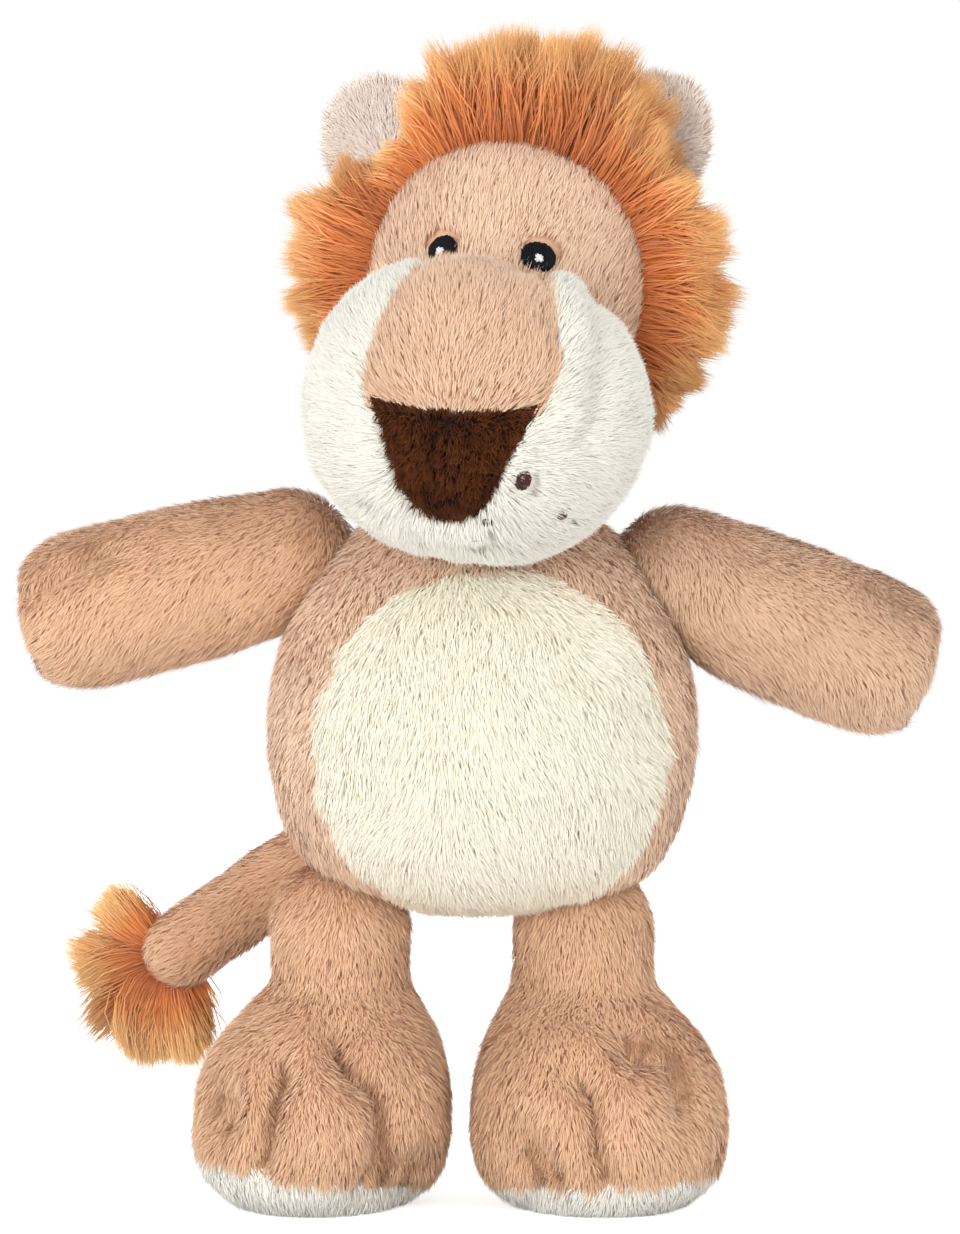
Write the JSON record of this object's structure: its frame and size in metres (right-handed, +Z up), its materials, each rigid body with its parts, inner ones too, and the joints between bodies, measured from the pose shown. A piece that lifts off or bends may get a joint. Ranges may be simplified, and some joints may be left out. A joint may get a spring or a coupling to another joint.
{
  "type": "plush lion",
  "caption": "Plush lion standing with its arms held out: tan plush, cream belly, white muzzle, brown nose, orange mane and tail tuft; limbs, head and tail bend at their seams.",
  "frame": {"origin": "on the floor, under the middle of the whole lion's bounding box", "axes": "+Z up; the lion faces -Y; +X is the lion's own left, the viewer's right in the picture"},
  "size_m": [0.2794, 0.182, 0.3586],
  "materials": {
    "plush_tan": "matte",
    "plush_cream": "matte",
    "plush_white": "matte",
    "plush_brown": "matte",
    "mane_orange": "matte",
    "thread_black": "satin",
    "thread_white": "satin",
    "thread_brown": "satin",
    "fibre_white": "matte"
  },
  "bodies": {
    "body": {"body_cover": "plush_tan", "belly_panel": "plush_cream", "body_stuffing": "fibre_white"},
    "neck": {"neck_seam": "plush_tan"},
    "head": {"head_cover": "plush_tan", "head_stuffing": "fibre_white", "nose_patch": "plush_brown", "muzzle_bridge": "plush_tan", "right_cheek": "plush_white", "left_cheek": "plush_white", "muzzle_stuffing": "fibre_white", "right_eye": "thread_black", "right_eye_glint": "thread_white", "left_eye": "thread_black", "left_eye_glint": "thread_white", "whisker_dot_1": "thread_brown", "whisker_dot_2": "thread_brown", "whisker_dot_3": "thread_brown", "whisker_dot_4": "thread_brown", "mane": "mane_orange", "right_ear_lining": "plush_cream", "right_ear_back": "plush_tan", "left_ear_lining": "plush_cream", "left_ear_back": "plush_tan"},
    "right_shoulder": {"right_shoulder_seam": "plush_tan"},
    "right_arm": {"right_arm_cover": "plush_tan", "right_arm_stuffing": "fibre_white"},
    "left_shoulder": {"left_shoulder_seam": "plush_tan"},
    "left_arm": {"left_arm_cover": "plush_tan", "left_arm_stuffing": "fibre_white"},
    "right_hip": {"right_hip_seam": "plush_tan"},
    "right_leg": {"right_leg_cover": "plush_tan", "right_sole": "plush_cream", "right_leg_stuffing": "fibre_white"},
    "left_hip": {"left_hip_seam": "plush_tan"},
    "left_leg": {"left_leg_cover": "plush_tan", "left_sole": "plush_cream", "left_leg_stuffing": "fibre_white"},
    "tail_root": {"tail_seam": "plush_tan"},
    "tail": {"tail_cover": "plush_tan", "tail_stuffing": "fibre_white", "tail_tuft": "mane_orange"}
  },
  "joints": [
    {"name": "neck_turn", "type": "hinge", "parent": "body", "child": "neck", "pos_m": [0.00094, 0.01304, 0.222], "axis": [0, 0, 1], "range_deg": [-30, 30], "stiffness_Nm_per_rad": 0.3},
    {"name": "neck_nod", "type": "hinge", "parent": "neck", "child": "head", "pos_m": [0.00094, 0.01304, 0.222], "axis": [1, 0, 0], "range_deg": [-25, 0], "stiffness_Nm_per_rad": 0.4},
    {"name": "right_arm_swing", "type": "hinge", "parent": "body", "child": "right_shoulder", "pos_m": [-0.05906, 0.01304, 0.1967], "axis": [0, 0, 1], "range_deg": [-30, 30], "stiffness_Nm_per_rad": 0.05},
    {"name": "right_arm_lift", "type": "hinge", "parent": "right_shoulder", "child": "right_arm", "pos_m": [-0.05906, 0.01304, 0.1967], "axis": [0, 1, 0], "range_deg": [-15, 40], "stiffness_Nm_per_rad": 0.06},
    {"name": "left_arm_swing", "type": "hinge", "parent": "body", "child": "left_shoulder", "pos_m": [0.06094, 0.01304, 0.1913], "axis": [0, 0, -1], "range_deg": [-30, 30], "stiffness_Nm_per_rad": 0.05},
    {"name": "left_arm_lift", "type": "hinge", "parent": "left_shoulder", "child": "left_arm", "pos_m": [0.06094, 0.01304, 0.1913], "axis": [0, -1, 0], "range_deg": [-6, 40], "stiffness_Nm_per_rad": 0.06},
    {"name": "right_leg_splay", "type": "hinge", "parent": "body", "child": "right_hip", "pos_m": [-0.04266, 0.01304, 0.084], "axis": [0, 1, 0], "range_deg": [-2, 18], "stiffness_Nm_per_rad": 0.6},
    {"name": "right_leg_swing", "type": "hinge", "parent": "right_hip", "child": "right_leg", "pos_m": [-0.04266, 0.01304, 0.084], "axis": [-1, 0, 0], "range_deg": [-25, 55], "stiffness_Nm_per_rad": 0.5},
    {"name": "left_leg_splay", "type": "hinge", "parent": "body", "child": "left_hip", "pos_m": [0.03134, 0.01304, 0.084], "axis": [0, -1, 0], "range_deg": [-2, 18], "stiffness_Nm_per_rad": 0.6},
    {"name": "left_leg_swing", "type": "hinge", "parent": "left_hip", "child": "left_leg", "pos_m": [0.03134, 0.01304, 0.084], "axis": [-1, 0, 0], "range_deg": [-25, 55], "stiffness_Nm_per_rad": 0.5},
    {"name": "tail_wag", "type": "hinge", "parent": "body", "child": "tail_root", "pos_m": [-0.00706, 0.07004, 0.123], "axis": [0, 0, 1], "range_deg": [-35, 15], "stiffness_Nm_per_rad": 0.02},
    {"name": "tail_droop", "type": "hinge", "parent": "tail_root", "child": "tail", "pos_m": [-0.00706, 0.07004, 0.123], "axis": [0, -1, 0], "range_deg": [-45, 18], "stiffness_Nm_per_rad": 0.02}
  ]
}
